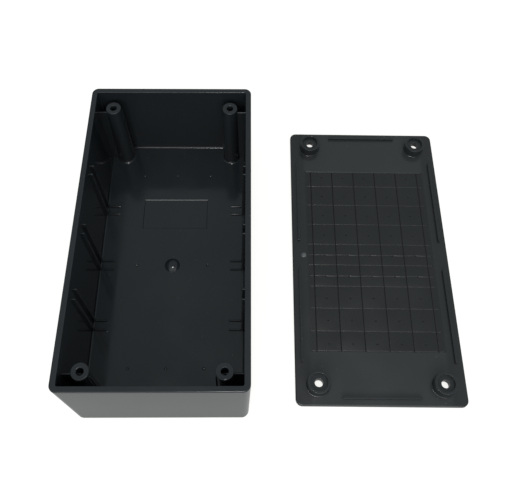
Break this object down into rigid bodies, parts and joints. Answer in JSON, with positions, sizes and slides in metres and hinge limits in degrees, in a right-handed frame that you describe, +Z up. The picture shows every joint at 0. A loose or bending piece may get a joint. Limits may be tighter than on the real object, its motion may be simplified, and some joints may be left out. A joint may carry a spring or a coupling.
{
  "type": "plastic enclosure box",
  "caption": "Open rectangular plastic box with corner screw posts and card guides, its flat lid with cups and a ruled grid lying inside-up beside it, and loose lid screws.",
  "frame": {"origin": "middle of the box body's flat underside, on the surface it stands on", "axes": "+Z up out of the box's open side, +Y along the box's length, +X across the box towards the lid lying beside it"},
  "size_m": [0.228, 0.2125, 0.063],
  "materials": {
    "black_plastic": "semi-gloss moulded black plastic",
    "black_plastic_lid": "semi-gloss moulded black plastic, finer sheen on the ruled grid",
    "zinc_steel": "bright zinc plate on steel"
  },
  "bodies": {
    "box": {"box_body": "black_plastic"},
    "lid": {"lid": "black_plastic_lid"},
    "screw_1": {"lid_screw_1": "zinc_steel"},
    "screw_2": {"lid_screw_2": "zinc_steel"},
    "screw_3": {"lid_screw_3": "zinc_steel"},
    "screw_4": {"lid_screw_4": "zinc_steel"}
  },
  "joints": [
    {"name": "lid_lift", "type": "slide", "parent": "box", "child": "lid", "axis": [0, 0, 1], "range_m": [0, 0.08]},
    {"name": "screw_1_lift", "type": "slide", "parent": "box", "child": "screw_1", "axis": [0, 0, 1], "range_m": [0, 0.08]},
    {"name": "screw_2_lift", "type": "slide", "parent": "box", "child": "screw_2", "axis": [0, 0, 1], "range_m": [0, 0.08]},
    {"name": "screw_3_lift", "type": "slide", "parent": "box", "child": "screw_3", "axis": [0, 0, 1], "range_m": [0, 0.08]},
    {"name": "screw_4_lift", "type": "slide", "parent": "box", "child": "screw_4", "axis": [0, 0, 1], "range_m": [0, 0.08]}
  ]
}
